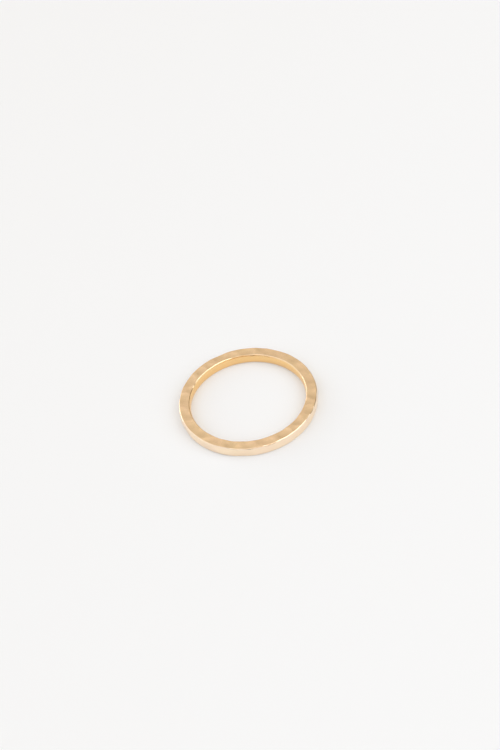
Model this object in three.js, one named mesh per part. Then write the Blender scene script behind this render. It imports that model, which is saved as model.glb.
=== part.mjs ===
// Stackable ring: a plain band of round gold-filled wire, soldered and hammered.
// Millimetres. The finger goes through along Z, and the band lies on z = 0.
// The band is one piece. It was beaten flat on a bench block, so its underside is plain
// and its upper face keeps shallow marks. Its sides are still round like the wire's: the
// inner one is smooth, and the outer one has the flats of a hammer all round.

import * as THREE from 'three';

// Driving dimensions
const INSIDE_DIAMETER = 16.9;
const THICKNESS = 1.8;
const WIDTH = 1.6;
const SIDE_BULGE = 0.25;
const EDGE_ROUND = 0.22;
const FLAT_SINK = 0.05;
const FLAT_LEAN = 11;
const FACE_MARK_DEPTH = 0.08;
const FACE_MARK_LENGTH = 2.2;
const FACE_MARK_BREADTH = 1.3;

// Where the first of the flats below starts, in degrees from +X towards +Y
const FIRST_FLAT_START = 181.5;

// Flats left by the hammer round the outside, one after the other.
// steps: the flat's length, in steps of the ring's turn.
// sink: how far it went in past the others, as a share of FLAT_SINK.
// lean: how far it leans in towards the upper face, as a share of FLAT_LEAN.
const FLATS = [
  { steps: 7, sink: 0.2, lean: 0.5 },
  { steps: 10, sink: 0.6, lean: -0.4 },
  { steps: 7, sink: 0, lean: 0.8 },
  { steps: 11, sink: 0.5, lean: -0.2 },
  { steps: 10, sink: 0.1, lean: 0.9 },
  { steps: 12, sink: 1, lean: -0.5 },
  { steps: 7, sink: 0, lean: 0.6 },
  { steps: 6, sink: 0.3, lean: -0.8 },
  { steps: 9, sink: 0.4, lean: 0.3 },
  { steps: 10, sink: 0.7, lean: -0.3 },
  { steps: 9, sink: 0, lean: 0.7 },
  { steps: 8, sink: 0.5, lean: -0.6 },
  { steps: 11, sink: 0.8, lean: 0.2 },
  { steps: 9, sink: 0.1, lean: -0.9 },
  { steps: 10, sink: 0.6, lean: 0.4 },
  { steps: 12, sink: 0.9, lean: -0.1 },
  { steps: 13, sink: 0.3, lean: 0.6 },
  { steps: 8, sink: 0, lean: -0.7 },
  { steps: 9, sink: 0.6, lean: 0.5 },
  { steps: 10, sink: 0.2, lean: -0.4 },
  { steps: 8, sink: 0.7, lean: 0.9 },
  { steps: 11, sink: 0.4, lean: -0.3 },
  { steps: 8, sink: 0, lean: 0.1 },
  { steps: 9, sink: 0.8, lean: -0.8 },
  { steps: 9, sink: 0.3, lean: 0.7 },
  { steps: 7, sink: 0.5, lean: -0.2 },
];

// Shallow marks on the upper face.
// at: degrees from +X towards +Y.
// across: from the middle of the face, as a share of THICKNESS, outwards.
// size and depth: shares of the FACE_MARK sizes.
const FACE_MARKS = [
  { at: 8, across: 0.2, size: 0.9, depth: 0.7 },
  { at: 16, across: -0.4, size: 0.7, depth: 0.6 },
  { at: 24, across: -0.15, size: 1.1, depth: 0.9 },
  { at: 39, across: 0.3, size: 0.8, depth: 0.6 },
  { at: 50, across: -0.35, size: 0.8, depth: 0.5 },
  { at: 60, across: 0.05, size: 1.2, depth: 1 },
  { at: 71, across: 0.42, size: 0.7, depth: 0.6 },
  { at: 82, across: -0.1, size: 1, depth: 0.8 },
  { at: 97, across: -0.25, size: 0.9, depth: 0.7 },
  { at: 108, across: 0.3, size: 1.1, depth: 0.9 },
  { at: 121, across: -0.4, size: 0.7, depth: 0.5 },
  { at: 131, across: -0.05, size: 0.8, depth: 0.6 },
  { at: 146, across: 0.3, size: 1.2, depth: 1 },
  { at: 156, across: -0.4, size: 0.7, depth: 0.6 },
  { at: 167, across: 0.1, size: 1, depth: 0.8 },
  { at: 183, across: 0.35, size: 0.9, depth: 0.7 },
  { at: 191, across: -0.3, size: 0.8, depth: 0.5 },
  { at: 202, across: 0.1, size: 1.1, depth: 0.9 },
  { at: 217, across: -0.2, size: 0.9, depth: 0.7 },
  { at: 225, across: 0.42, size: 0.7, depth: 0.6 },
  { at: 233, across: 0, size: 1, depth: 1 },
  { at: 247, across: -0.15, size: 0.9, depth: 0.8 },
  { at: 254, across: 0.42, size: 0.7, depth: 0.7 },
  { at: 263, across: 0.1, size: 1.1, depth: 0.9 },
  { at: 273, across: -0.4, size: 0.7, depth: 0.5 },
  { at: 281, across: 0.2, size: 0.9, depth: 0.8 },
  { at: 297, across: 0, size: 1.1, depth: 1 },
  { at: 307, across: 0.42, size: 0.7, depth: 0.6 },
  { at: 315, across: -0.25, size: 1, depth: 0.8 },
  { at: 331, across: 0.1, size: 0.9, depth: 0.7 },
  { at: 340, across: -0.4, size: 0.7, depth: 0.5 },
  { at: 349, across: 0.25, size: 1, depth: 0.9 },
];

// Steps in the section's lines and arcs. The underside is plain, so it has one.
const FACE_STEPS = 3;
const UNDERSIDE_STEPS = 1;
const OUTER_EDGE_STEPS = 3;
const INNER_EDGE_STEPS = 2;
const OUTER_SIDE_STEPS = 6;
const INNER_SIDE_STEPS = 3;

const innerRadius = INSIDE_DIAMETER / 2;
const outerRadius = innerRadius + THICKNESS;
const turnSteps = FLATS.reduce((sum, flat) => sum + flat.steps, 0);

// The band's section as a closed outline: up the outer side, in over the face, down the
// inner side and out along the underside. x is the distance from the axis, y the height.
// Each side is an arc that bulges past the line that joins its two edges, and each edge is
// a smaller arc between the side and the face.
function bandSection() {
  const half = WIDTH / 2;
  const edge = Math.min(EDGE_ROUND, half / 2, THICKNESS / 4);
  const side = (half ** 2 + SIDE_BULGE ** 2) / (2 * SIDE_BULGE);
  const reach = Math.sqrt((side - edge) ** 2 - (half - edge) ** 2);
  const tilt = Math.atan2(half - edge, reach);
  const outerSide = { x: outerRadius - side, y: half, radius: side, steps: OUTER_SIDE_STEPS };
  const innerSide = { x: innerRadius + side, y: half, radius: side, steps: INNER_SIDE_STEPS };
  const outerEdge = { x: outerSide.x + reach, radius: edge, steps: OUTER_EDGE_STEPS };
  const innerEdge = { x: innerSide.x - reach, radius: edge, steps: INNER_EDGE_STEPS };
  const quarter = Math.PI / 2;
  const turn = Math.PI;
  const arcs = [
    { ...outerEdge, y: edge, from: -quarter, to: -tilt },
    { ...outerSide, from: -tilt, to: tilt },
    { ...outerEdge, y: WIDTH - edge, from: tilt, to: quarter, line: FACE_STEPS },
    { ...innerEdge, y: WIDTH - edge, from: quarter, to: turn - tilt },
    { ...innerSide, from: turn - tilt, to: turn + tilt },
    { ...innerEdge, y: edge, from: turn + tilt, to: turn + quarter, line: UNDERSIDE_STEPS },
  ];
  const arcPoint = (arc, share) => {
    const angle = arc.from + (arc.to - arc.from) * share;
    return new THREE.Vector2(arc.x + arc.radius * Math.cos(angle), arc.y + arc.radius * Math.sin(angle));
  };
  const outline = [];
  arcs.forEach((arc, index) => {
    for (let step = 0; step < arc.steps; step += 1) {
      outline.push(arcPoint(arc, step / arc.steps));
    }
    const end = arcPoint(arc, 1);
    const next = arcPoint(arcs[(index + 1) % arcs.length], 0);
    for (let step = 0; step < (arc.line ?? 0); step += 1) {
      outline.push(end.clone().lerp(next, step / arc.line));
    }
  });
  outline.push(outline[0].clone());
  return outline;
}

// Each flat as a plane: the angle that it faces, its distance from the axis at half
// height, and its slope. Its two ends lie on the outside diameter before it is sunk.
function flatPlanes() {
  const stepAngle = 2 * Math.PI / turnSteps;
  let start = THREE.MathUtils.degToRad(FIRST_FLAT_START);
  return FLATS.map((flat) => {
    const halfAngle = flat.steps * stepAngle / 2;
    const facing = start + halfAngle;
    start += 2 * halfAngle;
    return {
      facing,
      distance: outerRadius * Math.cos(halfAngle) - flat.sink * FLAT_SINK,
      slope: Math.tan(THREE.MathUtils.degToRad(flat.lean * FLAT_LEAN)),
    };
  });
}

// The distance of the hammered outside from the axis, at an angle and a height
function outsideAt(planes, angle, height) {
  let radius = outerRadius;
  for (const plane of planes) {
    const across = Math.cos(angle - plane.facing);
    if (across > 0) {
      const distance = plane.distance - (height - WIDTH / 2) * plane.slope;
      radius = Math.min(radius, distance / across);
    }
  }
  return radius;
}

// How far the hammer sank the upper face, at an angle and a distance from the axis
function faceSinkAt(angle, radius) {
  let sink = 0;
  for (const mark of FACE_MARKS) {
    const markRadius = innerRadius + THICKNESS * (0.5 + mark.across);
    const turned = angle - THREE.MathUtils.degToRad(mark.at);
    const along = Math.atan2(Math.sin(turned), Math.cos(turned)) * markRadius;
    const alongShare = along / (mark.size * FACE_MARK_LENGTH / 2);
    const acrossShare = (radius - markRadius) / (mark.size * FACE_MARK_BREADTH / 2);
    const fromMiddle = alongShare ** 2 + acrossShare ** 2;
    sink = Math.max(sink, mark.depth * FACE_MARK_DEPTH * (1 - fromMiddle));
  }
  return sink;
}

// The band: its section turned round the axis, then beaten in. A point of the outer side
// moves in to the flat that it is on. A point of the face moves down by as much as the
// mark that it is in, and those below it less, down to the underside, which stays flat.
function bandGeometry() {
  const geometry = new THREE.LatheGeometry(bandSection(), turnSteps);
  geometry.rotateX(Math.PI / 2);
  geometry.rotateZ(THREE.MathUtils.degToRad(FIRST_FLAT_START));
  const planes = flatPlanes();
  const points = geometry.getAttribute('position');
  for (let index = 0; index < points.count; index += 1) {
    const x = points.getX(index);
    const y = points.getY(index);
    const z = points.getZ(index);
    const radius = Math.hypot(x, y);
    const angle = Math.atan2(y, x);
    const beaten = Math.min(radius, outsideAt(planes, angle, z));
    const upwards = z / WIDTH;
    points.setXYZ(
      index,
      x * beaten / radius,
      y * beaten / radius,
      z - upwards * faceSinkAt(angle, radius),
    );
  }
  geometry.computeVertexNormals();
  return geometry;
}

// Polished rose-yellow gold over brass
const gold = new THREE.MeshStandardMaterial({ color: '#eccb9f', metalness: 1, roughness: 0.22 });

const band = new THREE.Mesh(bandGeometry(), gold);
band.name = 'ring_band';

const ring = new THREE.Group();
ring.name = 'stackable_ring';
ring.add(band);

export default ring;
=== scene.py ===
# A hammered stacking ring of gold-filled wire, lying on a pale table under soft light.
# Metres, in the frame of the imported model: the finger goes through along Z, and the
# band lies on z = 0.

import math

import bmesh
import bpy
from mathutils import Matrix, Vector


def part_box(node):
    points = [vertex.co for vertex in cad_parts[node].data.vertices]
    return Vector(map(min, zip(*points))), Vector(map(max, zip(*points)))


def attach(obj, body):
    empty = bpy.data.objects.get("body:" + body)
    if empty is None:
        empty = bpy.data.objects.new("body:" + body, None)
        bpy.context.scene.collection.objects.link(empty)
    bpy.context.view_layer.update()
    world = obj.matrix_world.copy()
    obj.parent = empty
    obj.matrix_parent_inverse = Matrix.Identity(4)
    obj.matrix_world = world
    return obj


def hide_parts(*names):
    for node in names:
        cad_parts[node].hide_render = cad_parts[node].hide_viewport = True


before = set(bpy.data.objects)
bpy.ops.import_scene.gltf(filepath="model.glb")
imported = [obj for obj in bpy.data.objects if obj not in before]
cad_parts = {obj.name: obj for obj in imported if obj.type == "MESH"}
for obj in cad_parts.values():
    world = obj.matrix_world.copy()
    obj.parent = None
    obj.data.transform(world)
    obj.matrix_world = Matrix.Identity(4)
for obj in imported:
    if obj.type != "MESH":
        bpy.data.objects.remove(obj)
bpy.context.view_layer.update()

# The band
# A round gold-filled wire, bent round a mandrel, soldered, and beaten flat on a bench
# block, so that it has two flat faces between two sides that are still a little round.

MM = 0.001
INSIDE_RADIUS = 16.9 / 2 * MM
THICKNESS = 1.8 * MM
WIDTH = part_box("ring_band")[1].z
SIDE_BULGE = 0.25 * MM
EDGE_CUT = 0.17 * MM
EDGE_SEGMENTS = 4
CUTS_PER_SIDE = 11
STEPS_ROUND = 720
MERGE_DISTANCE = 0.001 * MM
middle_radius = INSIDE_RADIUS + THICKNESS / 2
outside_radius = INSIDE_RADIUS + THICKNESS
face_breadth = THICKNESS - 2 * SIDE_BULGE

bpy.ops.object.select_all(action="DESELECT")
bpy.ops.mesh.primitive_plane_add(
    size=1,
    location=(middle_radius, 0, WIDTH / 2),
    rotation=(math.pi / 2, 0, 0),
)
band = bpy.context.object
band.name = band.data.name = "hammered_band"
band.scale = (face_breadth, WIDTH, 1)
bpy.ops.object.transform_apply(location=True, rotation=True, scale=True)


def select_points(belongs):
    """Selects the band's points for which belongs(place) is true, and no others."""
    mesh = bmesh.from_edit_mesh(band.data)
    for point in mesh.verts:
        point.select = belongs(point.co)
    mesh.select_flush_mode()
    bmesh.update_edit_mesh(band.data)


# The wire's section: a square-cornered plane whose sides are drawn out and corners cut
bpy.ops.object.mode_set(mode="EDIT")
bpy.ops.mesh.select_all(action="SELECT")
bpy.ops.mesh.subdivide(number_cuts=CUTS_PER_SIDE)
for outwards in (-1, 1):
    side_middle = Vector((middle_radius + outwards * face_breadth / 2, 0, WIDTH / 2))
    select_points(lambda place: (place - side_middle).length < EDGE_CUT)
    bpy.ops.transform.translate(
        value=(outwards * SIDE_BULGE, 0, 0),
        use_proportional_edit=True,
        proportional_edit_falloff="INVERSE_SQUARE",
        proportional_size=WIDTH / 2,
    )
centre = Vector((middle_radius, 0, WIDTH / 2))
corner_distance = math.hypot(face_breadth, WIDTH) / 2
select_points(lambda place: (place - centre).length > corner_distance - EDGE_CUT / 2)
bpy.ops.mesh.bevel(affect="VERTICES", offset=EDGE_CUT, segments=EDGE_SEGMENTS)

# Its outline alone, spun round the finger's axis
bpy.ops.mesh.select_all(action="SELECT")
bpy.ops.mesh.region_to_loop()
bpy.ops.mesh.select_mode(type="VERT")
bpy.ops.mesh.select_all(action="INVERT")
bpy.ops.mesh.delete(type="VERT")
bpy.ops.mesh.select_all(action="SELECT")
bpy.ops.mesh.delete(type="ONLY_FACE")
bpy.ops.mesh.select_all(action="SELECT")
bpy.ops.mesh.spin(
    steps=STEPS_ROUND,
    angle=2 * math.pi,
    center=(0, 0, 0),
    axis=(0, 0, 1),
    use_auto_merge=True,
)
bpy.ops.mesh.select_all(action="SELECT")
bpy.ops.mesh.remove_doubles(threshold=MERGE_DISTANCE)
bpy.ops.mesh.normals_make_consistent(inside=False)

# The flats on the outside, one after the other from FIRST_FLAT_START, which is in degrees
# from +X towards +Y. turn: how long a flat is, in degrees. sink: how far it went in past
# the others, as a share of FLAT_SINK. lean: how far it leans in towards the upper face, as
# a share of FLAT_LEAN. FLAT_CROWN is how much of its old roundness each flat keeps.
FLAT_SINK = 0.05 * MM
FLAT_LEAN = 11
FLAT_CROWN = 0.1
FIRST_FLAT_START = 181.5
FLATS = [
    {"turn": 10.5, "sink": 0.2, "lean": 0.5},
    {"turn": 15.0, "sink": 0.6, "lean": -0.4},
    {"turn": 10.5, "sink": 0.0, "lean": 0.8},
    {"turn": 16.5, "sink": 0.5, "lean": -0.2},
    {"turn": 15.0, "sink": 0.1, "lean": 0.9},
    {"turn": 18.0, "sink": 1.0, "lean": -0.5},
    {"turn": 10.5, "sink": 0.0, "lean": 0.6},
    {"turn": 9.0, "sink": 0.3, "lean": -0.8},
    {"turn": 13.5, "sink": 0.4, "lean": 0.3},
    {"turn": 15.0, "sink": 0.7, "lean": -0.3},
    {"turn": 13.5, "sink": 0.0, "lean": 0.7},
    {"turn": 12.0, "sink": 0.5, "lean": -0.6},
    {"turn": 16.5, "sink": 0.8, "lean": 0.2},
    {"turn": 13.5, "sink": 0.1, "lean": -0.9},
    {"turn": 15.0, "sink": 0.6, "lean": 0.4},
    {"turn": 18.0, "sink": 0.9, "lean": -0.1},
    {"turn": 19.5, "sink": 0.3, "lean": 0.6},
    {"turn": 12.0, "sink": 0.0, "lean": -0.7},
    {"turn": 13.5, "sink": 0.6, "lean": 0.5},
    {"turn": 15.0, "sink": 0.2, "lean": -0.4},
    {"turn": 12.0, "sink": 0.7, "lean": 0.9},
    {"turn": 16.5, "sink": 0.4, "lean": -0.3},
    {"turn": 12.0, "sink": 0.0, "lean": 0.1},
    {"turn": 13.5, "sink": 0.8, "lean": -0.8},
    {"turn": 13.5, "sink": 0.3, "lean": 0.7},
    {"turn": 10.5, "sink": 0.5, "lean": -0.2},
]

start = FIRST_FLAT_START
for flat in FLATS:
    facing = math.radians(start + flat["turn"] / 2)
    lean = math.radians(flat["lean"] * FLAT_LEAN)
    outwards = Vector((math.cos(facing), math.sin(facing), math.tan(lean))).normalized()
    along = Vector((-math.sin(facing), math.cos(facing), 0))
    depth = flat["sink"] * FLAT_SINK
    distance = outside_radius * math.cos(math.radians(flat["turn"] / 2)) - depth
    middle = Vector((math.cos(facing) * distance, math.sin(facing) * distance, WIDTH / 2))
    select_points(lambda place: (place - middle).dot(outwards) > 0)
    bpy.ops.transform.resize(
        value=(1, 1, FLAT_CROWN),
        orient_type="GLOBAL",
        orient_matrix=(along, outwards.cross(along), outwards),
        orient_matrix_type="GLOBAL",
        constraint_axis=(False, False, True),
        center_override=middle,
    )
    start += flat["turn"]

# The shallow marks on the upper face. at: degrees from +X towards +Y. across: from the
# middle of the face, as a share of THICKNESS, outwards. size and depth: shares of
# FACE_MARK_REACH and FACE_MARK_DEPTH.
FACE_MARK_DEPTH = 0.08 * MM
FACE_MARK_REACH = 1.0 * MM
FACE_MARKS = [
    {"at": 8, "across": 0.2, "size": 0.9, "depth": 0.7},
    {"at": 16, "across": -0.4, "size": 0.7, "depth": 0.6},
    {"at": 24, "across": -0.15, "size": 1.1, "depth": 0.9},
    {"at": 39, "across": 0.3, "size": 0.8, "depth": 0.6},
    {"at": 50, "across": -0.35, "size": 0.8, "depth": 0.5},
    {"at": 60, "across": 0.05, "size": 1.2, "depth": 1},
    {"at": 71, "across": 0.42, "size": 0.7, "depth": 0.6},
    {"at": 82, "across": -0.1, "size": 1, "depth": 0.8},
    {"at": 97, "across": -0.25, "size": 0.9, "depth": 0.7},
    {"at": 108, "across": 0.3, "size": 1.1, "depth": 0.9},
    {"at": 121, "across": -0.4, "size": 0.7, "depth": 0.5},
    {"at": 131, "across": -0.05, "size": 0.8, "depth": 0.6},
    {"at": 146, "across": 0.3, "size": 1.2, "depth": 1},
    {"at": 156, "across": -0.4, "size": 0.7, "depth": 0.6},
    {"at": 167, "across": 0.1, "size": 1, "depth": 0.8},
    {"at": 183, "across": 0.35, "size": 0.9, "depth": 0.7},
    {"at": 191, "across": -0.3, "size": 0.8, "depth": 0.5},
    {"at": 202, "across": 0.1, "size": 1.1, "depth": 0.9},
    {"at": 217, "across": -0.2, "size": 0.9, "depth": 0.7},
    {"at": 225, "across": 0.42, "size": 0.7, "depth": 0.6},
    {"at": 233, "across": 0, "size": 1, "depth": 1},
    {"at": 247, "across": -0.15, "size": 0.9, "depth": 0.8},
    {"at": 254, "across": 0.42, "size": 0.7, "depth": 0.7},
    {"at": 263, "across": 0.1, "size": 1.1, "depth": 0.9},
    {"at": 273, "across": -0.4, "size": 0.7, "depth": 0.5},
    {"at": 281, "across": 0.2, "size": 0.9, "depth": 0.8},
    {"at": 297, "across": 0, "size": 1.1, "depth": 1},
    {"at": 307, "across": 0.42, "size": 0.7, "depth": 0.6},
    {"at": 315, "across": -0.25, "size": 1, "depth": 0.8},
    {"at": 331, "across": 0.1, "size": 0.9, "depth": 0.7},
    {"at": 340, "across": -0.4, "size": 0.7, "depth": 0.5},
    {"at": 349, "across": 0.25, "size": 1, "depth": 0.9},
]

point_spacing = face_breadth / CUTS_PER_SIDE
for mark in FACE_MARKS:
    radius = INSIDE_RADIUS + THICKNESS * (0.5 + mark["across"])
    angle = math.radians(mark["at"])
    struck = Vector((math.cos(angle) * radius, math.sin(angle) * radius, WIDTH))
    select_points(lambda place: (place - struck).length < point_spacing)
    bpy.ops.transform.translate(
        value=(0, 0, -mark["depth"] * FACE_MARK_DEPTH),
        use_proportional_edit=True,
        proportional_edit_falloff="INVERSE_SQUARE",
        proportional_size=mark["size"] * FACE_MARK_REACH,
    )

# A polishing cloth softened what the hammer left
POLISH_PASSES = 3
POLISH_SHARE = 0.5
bpy.ops.mesh.select_all(action="SELECT")
bpy.ops.mesh.vertices_smooth(factor=POLISH_SHARE, repeat=POLISH_PASSES)
bpy.ops.object.mode_set(mode="OBJECT")
bpy.ops.object.shade_smooth()


def linear(code):
    """An sRGB hex colour as the linear colour that a shader takes."""
    shares = [int(code[i : i + 2], 16) / 255 for i in (1, 3, 5)]
    return [s / 12.92 if s <= 0.04045 else ((s + 0.055) / 1.055) ** 2.4 for s in shares] + [1]


def add_node(tree, kind, settings=(), links=()):
    """Adds a node, with its settings and input values, and what feeds its inputs."""
    node = tree.nodes.new(kind)
    for name, value in dict(settings).items():
        if isinstance(name, int) or name in node.inputs:
            node.inputs[name].default_value = value
        else:
            setattr(node, name, value)
    for name, source in dict(links).items():
        tree.links.new(source, node.inputs[name])
    return node


# Gold-filled brass: a layer of 14-carat rose-yellow gold, hammered bright and rubbed with
# a polishing cloth. A pale warm metal, mirror-like in patches and satin between them, with
# the small facets of the last light blows, and fine lines round the band from the cloth.
# The lines are drawn three times as coarse as the real ones, or they wouldn't show.
GOLD = "#FEEBCA"
ROSE = "#FFE4CC"
# The inside wall's deeper gold is a painted reflection of the band in itself, not the metal's
# own colour
INSIDE_PAINTED_REFLECTION = "#F9D093"
PATCH = 2.5 * MM
PATCH_LOW = 0.3
PATCH_HIGH = 0.7
MIRROR_ROUGHNESS = 0.08
SATIN_ROUGHNESS = 0.18
FACET = 1.1 * MM
FACET_DEPTH = 0.03 * MM
LINE_SPACING = 0.12 * MM
LINE_LENGTH = 3 * MM
LINE_DEPTH = 0.003 * MM
LINE_ROUGHNESS = 0.05
gold = bpy.data.materials.new("gold_filled_polished")
gold.use_nodes = True
tree = gold.node_tree
shader = tree.nodes["Principled BSDF"]
shader.inputs["Metallic"].default_value = 1
on_band = add_node(tree, "ShaderNodeTexCoord").outputs["Object"]
patches = add_node(
    tree, "ShaderNodeTexNoise",
    {"Scale": 1 / PATCH, "Detail": 3, "Roughness": 0.55},
    {"Vector": on_band},
)
tint = add_node(
    tree, "ShaderNodeMix",
    {"data_type": "RGBA", 6: linear(GOLD), 7: linear(ROSE)},
    {0: patches.outputs["Fac"]},
)

# The inside wall is a deeper gold: painted reflection, for the light the band mirrors back and
# forth inside itself
flattened = add_node(
    tree, "ShaderNodeVectorMath",
    {"operation": "MULTIPLY", 1: (1, 1, 0)},
    {0: on_band},
)
from_axis = add_node(
    tree, "ShaderNodeVectorMath",
    {"operation": "LENGTH"},
    {0: flattened.outputs["Vector"]},
)
off_inside_wall = add_node(
    tree, "ShaderNodeMapRange",
    {"From Min": INSIDE_RADIUS + SIDE_BULGE - EDGE_CUT, "From Max": INSIDE_RADIUS + SIDE_BULGE},
    {"Value": from_axis.outputs["Value"]},
)
colour = add_node(
    tree, "ShaderNodeMix",
    {"data_type": "RGBA", 6: linear(INSIDE_PAINTED_REFLECTION)},
    {0: off_inside_wall.outputs["Result"], 7: tint.outputs[2]},
)
tree.links.new(colour.outputs[2], shader.inputs["Base Color"])

# The lines: noise that changes fast from the axis outwards and up, and slowly round it
lines_out = add_node(
    tree, "ShaderNodeMath",
    {"operation": "DIVIDE", 1: LINE_SPACING},
    {0: from_axis.outputs["Value"]},
)
lines_up = add_node(
    tree, "ShaderNodeMapping",
    {"Scale": (1 / LINE_LENGTH, 1 / LINE_LENGTH, 1 / LINE_SPACING)},
    {"Vector": on_band},
)
lines = add_node(
    tree, "ShaderNodeTexNoise",
    {"noise_dimensions": "4D", "Scale": 1, "Detail": 2},
    {"Vector": lines_up.outputs["Vector"], "W": lines_out.outputs["Value"]},
)
gloss = add_node(
    tree, "ShaderNodeMapRange",
    {
        "From Min": PATCH_LOW,
        "From Max": PATCH_HIGH,
        "To Min": MIRROR_ROUGHNESS,
        "To Max": SATIN_ROUGHNESS,
    },
    {"Value": patches.outputs["Fac"]},
)
satin = add_node(
    tree, "ShaderNodeMath",
    {"operation": "MULTIPLY_ADD", 1: LINE_ROUGHNESS},
    {0: lines.outputs["Fac"], 2: gloss.outputs["Result"]},
)
tree.links.new(satin.outputs["Value"], shader.inputs["Roughness"])

# The facets: shallow round dents that meet in soft ridges, on all but the smooth inside
facets = add_node(
    tree, "ShaderNodeTexVoronoi",
    {"feature": "SMOOTH_F1", "Scale": 1 / FACET, "Smoothness": 0.25},
    {"Vector": on_band},
)
hammered = add_node(
    tree, "ShaderNodeMapRange",
    {"To Max": FACET_DEPTH},
    {"Value": off_inside_wall.outputs["Result"]},
)
dents = add_node(
    tree, "ShaderNodeMath",
    {"operation": "MULTIPLY"},
    {0: facets.outputs["Distance"], 1: hammered.outputs["Result"]},
)
relief = add_node(
    tree, "ShaderNodeMath",
    {"operation": "MULTIPLY_ADD", 1: LINE_DEPTH},
    {0: lines.outputs["Fac"], 2: dents.outputs["Value"]},
)
bump = add_node(tree, "ShaderNodeBump", {"Distance": 1}, {"Height": relief.outputs["Value"]})
tree.links.new(bump.outputs["Normal"], shader.inputs["Normal"])
band.data.materials.clear()
band.data.materials.append(gold)
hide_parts("ring_band")
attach(band, "root")

# The table
# A smooth matt white board, lit a little from below as on a light table, which keeps
# shadows pale. It isn't part of the object.
TABLE_SIDE = 3.0
WHITE_BOARD = "#E4E6EA"
BOARD_ROUGHNESS = 0.6
BOARD_GLOW = 0.12
bpy.ops.object.select_all(action="DESELECT")
bpy.ops.mesh.primitive_plane_add(size=TABLE_SIDE, location=(0, 0, 0))
table = bpy.context.object
table.name = "table"
board = bpy.data.materials.new("white_matt_board")
board.use_nodes = True
board_shader = board.node_tree.nodes["Principled BSDF"]
board_shader.inputs["Base Color"].default_value = linear(WHITE_BOARD)
board_shader.inputs["Roughness"].default_value = BOARD_ROUGHNESS
board_shader.inputs["Emission Color"].default_value = linear("#FFFFFF")
board_shader.inputs["Emission Strength"].default_value = BOARD_GLOW
table.data.materials.append(board)

# The room's light
# A warm room with pale, uneven walls, bright overhead and on the left and dark low down on
# the right, with a large window-like softbox on the right and a low one at the back left.
# WALLS gives their linear colour at shares of the way from DARKEST to BRIGHTEST, which
# are cosines of the angle from BRIGHT_SIDE.
BRIGHT_SIDE = (-0.75, -0.15, 0.65)
DARKEST = -0.6
BRIGHTEST = 0.8
WALLS = [
    {"at": 0.0, "light": (0.18, 0.13, 0.08)},
    {"at": 0.52, "light": (0.62, 0.52, 0.38)},
    {"at": 0.82, "light": (0.80, 0.685, 0.535)},
    {"at": 1.0, "light": (1.0, 1.02, 1.05)},
]
WALL_PATCHES = 3.5
WALL_UNEVENNESS = 0.5
ROOM_STRENGTH = 1.05

world = bpy.data.worlds.new("room")
bpy.context.scene.world = world
world.use_nodes = True
room = world.node_tree
direction = add_node(room, "ShaderNodeTexCoord")
towards_bright = add_node(
    room, "ShaderNodeVectorMath",
    {"operation": "DOT_PRODUCT", 1: BRIGHT_SIDE},
    {0: direction.outputs["Generated"]},
)
spread = add_node(
    room, "ShaderNodeMapRange",
    {"From Min": DARKEST, "From Max": BRIGHTEST},
    {"Value": towards_bright.outputs["Value"]},
)
brightness = add_node(room, "ShaderNodeValToRGB", {}, {"Fac": spread.outputs["Result"]})
stops = brightness.color_ramp.elements
stops.remove(stops[1])
stops[0].color = (*WALLS[0]["light"], 1)
for wall in WALLS[1:]:
    stops.new(wall["at"]).color = (*wall["light"], 1)
unevenness = add_node(
    room, "ShaderNodeTexNoise",
    {"Scale": WALL_PATCHES, "Detail": 1},
    {"Vector": direction.outputs["Generated"]},
)
shares = add_node(
    room, "ShaderNodeMath",
    {"operation": "MULTIPLY_ADD", 1: WALL_UNEVENNESS, 2: 1 - WALL_UNEVENNESS / 2},
    {0: unevenness.outputs["Fac"]},
)
walls = add_node(
    room, "ShaderNodeVectorMath",
    {"operation": "SCALE"},
    {0: brightness.outputs["Color"], "Scale": shares.outputs["Value"]},
)
room.links.new(walls.outputs["Vector"], room.nodes["Background"].inputs["Color"])

# A dark stand, low down at the front left, which draws dark lines on the band's edges
STAND_SIDE = (-0.49, -0.87, 0.09)
STAND_RIM = 0.90
STAND_CORE = 0.96
STAND_STRENGTH = 0.12
towards_stand = add_node(
    room, "ShaderNodeVectorMath",
    {"operation": "DOT_PRODUCT", 1: STAND_SIDE},
    {0: direction.outputs["Generated"]},
)
shade = add_node(
    room, "ShaderNodeMapRange",
    {
        "From Min": STAND_RIM,
        "From Max": STAND_CORE,
        "To Min": ROOM_STRENGTH,
        "To Max": STAND_STRENGTH,
    },
    {"Value": towards_stand.outputs["Value"]},
)
room.links.new(shade.outputs["Result"], room.nodes["Background"].inputs["Strength"])

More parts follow.
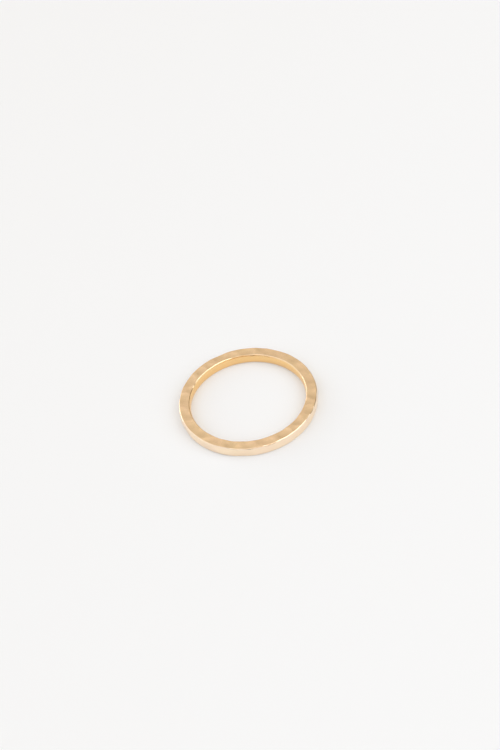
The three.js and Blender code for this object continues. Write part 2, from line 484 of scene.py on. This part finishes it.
SOFTBOX_COLOUR = (0.80, 0.90, 1.0)
SOFTBOX_DISTANCE = 1.0


def softbox(name, towards, size, power):
    """A round soft light of a size and a power in watts, aimed at the ring from a side."""
    light = bpy.data.lights.new(name, "AREA")
    light.shape = "DISK"
    light.size = size
    light.energy = power
    light.color = SOFTBOX_COLOUR
    lamp = bpy.data.objects.new(name, light)
    bpy.context.scene.collection.objects.link(lamp)
    lamp.location = Vector(towards).normalized() * SOFTBOX_DISTANCE
    lamp.rotation_euler = (-lamp.location).to_track_quat("-Z", "Y").to_euler()


softbox("window_softbox", towards=(0.66, -0.27, 0.70), size=1.2, power=5.8)
softbox("low_softbox", towards=(-0.68, 0.70, 0.20), size=0.6, power=1.3)

# The camera
# It looks down at the ring from the front, turned a little clockwise, so that the ring's
# long axis rises to the right as it does in the photograph. RING_CENTRE is where the
# middle of the upper face is in the image, in pixels from its top left corner.
IMAGE_WIDTH = 500
IMAGE_HEIGHT = 750
RING_CENTRE_X = 247.6
RING_CENTRE_Y = 396.8
ELEVATION = 45.3
ROLL = 10.5
DISTANCE = 0.240
PIXELS_PER_MM = 6.87
SENSOR = 36.0

lens = bpy.data.cameras.new("camera")
lens.sensor_width = SENSOR
focal_pixels = PIXELS_PER_MM / MM * DISTANCE
lens.lens = focal_pixels * SENSOR / IMAGE_HEIGHT
lens.clip_start = 0.01
lens.clip_end = 10
camera = bpy.data.objects.new("camera", lens)
bpy.context.scene.collection.objects.link(camera)
tipped = Matrix.Rotation(math.radians(90 - ELEVATION), 3, "X")
turned = tipped @ Matrix.Rotation(-math.radians(ROLL), 3, "Z")
seen_at = Vector((
    (RING_CENTRE_X - IMAGE_WIDTH / 2) / focal_pixels * DISTANCE,
    (IMAGE_HEIGHT / 2 - RING_CENTRE_Y) / focal_pixels * DISTANCE,
    -DISTANCE,
))
face_middle = Vector((0, 0, WIDTH))
camera.matrix_world = Matrix.LocRotScale(face_middle - turned @ seen_at, turned, None)
bpy.context.scene.camera = camera
bpy.context.scene.view_settings.view_transform = "Standard"
